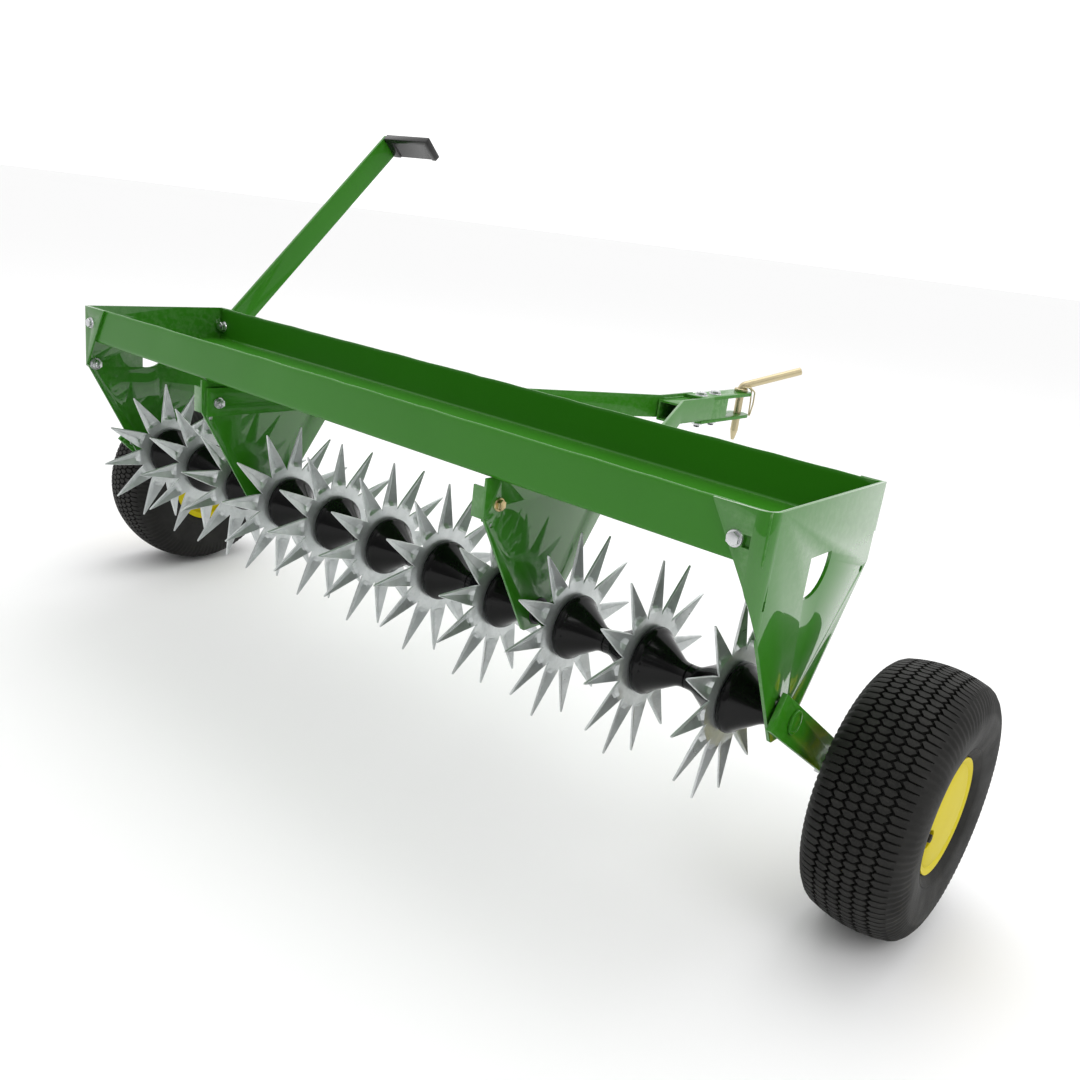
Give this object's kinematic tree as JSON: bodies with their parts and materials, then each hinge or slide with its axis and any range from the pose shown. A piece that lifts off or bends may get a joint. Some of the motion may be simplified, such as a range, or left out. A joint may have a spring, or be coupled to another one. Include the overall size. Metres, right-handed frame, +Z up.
{
  "type": "tow-behind star-tine lawn aerator",
  "caption": "Tow-behind star-tine lawn aerator: weight tray over a row of spiked discs, lever-lifted wheels and a pin-hitch drawbar.",
  "frame": {"origin": "on the ground under the middle of the machine's outline, with the wheels lowered for transport", "axes": "+Z up, +Y towards the towing tractor, +X to the machine's right-hand side"},
  "size_m": [1.27, 0.9444, 0.6835],
  "materials": {
    "frame_paint": "glossy green enamel on folded sheet steel",
    "galvanised": "bright galvanised sheet steel with faint spangle",
    "hub_plastic": "glossy black moulded plastic",
    "tyre": "black ribbed pneumatic tyre",
    "rim_paint": "yellow enamel on pressed steel",
    "valve_rubber": "black rubber valve stem with cap",
    "bearing_plastic": "black nylon bearing and bushing",
    "grip_plastic": "black moulded hand grip",
    "yellow_zinc": "yellow zinc-plated round steel",
    "zinc": "clear zinc-plated steel"
  },
  "bodies": {
    "frame": {"tray": "frame_paint", "left_end_plate": "frame_paint", "right_end_plate": "frame_paint", "left_hanger_plate": "frame_paint", "right_hanger_plate": "frame_paint", "tray_bolts": "zinc", "plate_bolts": "zinc", "axle_bushings": "bearing_plastic", "left_drawbar_arm": "frame_paint", "right_drawbar_arm": "frame_paint", "drawbar_tube": "frame_paint", "drawbar_bolts": "zinc", "hitch_straps": "frame_paint", "strap_bolts": "zinc"},
    "lift_axle": {"tine_axle": "zinc", "left_wheel_arm": "frame_paint", "right_wheel_arm": "frame_paint", "axle_nuts": "zinc", "left_spindle": "zinc", "right_spindle": "zinc", "wheel_nuts": "zinc", "lift_lever": "frame_paint", "lever_bolts": "zinc", "lever_grip": "grip_plastic"},
    "left_wheel": {"left_tyre": "tyre", "left_rim": "rim_paint", "left_wheel_bearing": "bearing_plastic", "left_valve": "valve_rubber", "left_hub_cap": "rim_paint"},
    "right_wheel": {"right_tyre": "tyre", "right_rim": "rim_paint", "right_wheel_bearing": "bearing_plastic", "right_valve": "valve_rubber", "right_hub_cap": "rim_paint"},
    "hitch_pin": {"hitch_pin": "yellow_zinc"},
    "pin_clip": {"pin_clip": "yellow_zinc"},
    "tine_01": {"star_01": "galvanised", "hub_01": "hub_plastic"},
    "tine_02": {"star_02": "galvanised", "hub_02": "hub_plastic"},
    "tine_03": {"star_03": "galvanised", "hub_03": "hub_plastic"},
    "tine_04": {"star_04": "galvanised", "hub_04": "hub_plastic"},
    "tine_05": {"star_05": "galvanised", "hub_05": "hub_plastic"},
    "tine_06": {"star_06": "galvanised", "hub_06": "hub_plastic"},
    "tine_07": {"star_07": "galvanised", "hub_07": "hub_plastic"},
    "tine_08": {"star_08": "galvanised", "hub_08": "hub_plastic"},
    "tine_09": {"star_09": "galvanised", "hub_09": "hub_plastic"},
    "tine_10": {"star_10": "galvanised", "hub_10": "hub_plastic"},
    "tine_11": {"star_11": "galvanised", "hub_11": "hub_plastic"}
  },
  "joints": [
    {"name": "lift", "type": "hinge", "parent": "frame", "child": "lift_axle", "pos_m": [0, -0.36965, 0.212], "axis": [1, 0, 0], "range_deg": [0, 72]},
    {"name": "left_wheel_spin", "type": "hinge", "parent": "lift_axle", "child": "left_wheel", "pos_m": [-0.586, -0.25165, 0.127], "axis": [1, 0, 0], "continuous": true},
    {"name": "right_wheel_spin", "type": "hinge", "parent": "lift_axle", "child": "right_wheel", "pos_m": [0.586, -0.25165, 0.127], "axis": [1, 0, 0], "continuous": true},
    {"name": "pin_pull", "type": "slide", "parent": "frame", "child": "hitch_pin", "axis": [0, 0, 1], "range_m": [0, 0.095]},
    {"name": "clip_swing", "type": "hinge", "parent": "hitch_pin", "child": "pin_clip", "pos_m": [0, 0.39885, 0.3603], "axis": [0.7071, -0.7071, 0], "range_deg": [0, 40]},
    {"name": "tine_01_spin", "type": "hinge", "parent": "lift_axle", "child": "tine_01", "pos_m": [-0.4575, -0.36965, 0.212], "axis": [1, 0, 0], "continuous": true},
    {"name": "tine_02_spin", "type": "hinge", "parent": "lift_axle", "child": "tine_02", "pos_m": [-0.366, -0.36965, 0.212], "axis": [1, 0, 0], "continuous": true},
    {"name": "tine_03_spin", "type": "hinge", "parent": "lift_axle", "child": "tine_03", "pos_m": [-0.2745, -0.36965, 0.212], "axis": [1, 0, 0], "continuous": true},
    {"name": "tine_04_spin", "type": "hinge", "parent": "lift_axle", "child": "tine_04", "pos_m": [-0.183, -0.36965, 0.212], "axis": [1, 0, 0], "continuous": true},
    {"name": "tine_05_spin", "type": "hinge", "parent": "lift_axle", "child": "tine_05", "pos_m": [-0.0915, -0.36965, 0.212], "axis": [1, 0, 0], "continuous": true},
    {"name": "tine_06_spin", "type": "hinge", "parent": "lift_axle", "child": "tine_06", "pos_m": [0, -0.36965, 0.212], "axis": [1, 0, 0], "continuous": true},
    {"name": "tine_07_spin", "type": "hinge", "parent": "lift_axle", "child": "tine_07", "pos_m": [0.0915, -0.36965, 0.212], "axis": [1, 0, 0], "continuous": true},
    {"name": "tine_08_spin", "type": "hinge", "parent": "lift_axle", "child": "tine_08", "pos_m": [0.183, -0.36965, 0.212], "axis": [1, 0, 0], "continuous": true},
    {"name": "tine_09_spin", "type": "hinge", "parent": "lift_axle", "child": "tine_09", "pos_m": [0.2745, -0.36965, 0.212], "axis": [1, 0, 0], "continuous": true},
    {"name": "tine_10_spin", "type": "hinge", "parent": "lift_axle", "child": "tine_10", "pos_m": [0.366, -0.36965, 0.212], "axis": [1, 0, 0], "continuous": true},
    {"name": "tine_11_spin", "type": "hinge", "parent": "lift_axle", "child": "tine_11", "pos_m": [0.4575, -0.36965, 0.212], "axis": [1, 0, 0], "continuous": true}
  ]
}
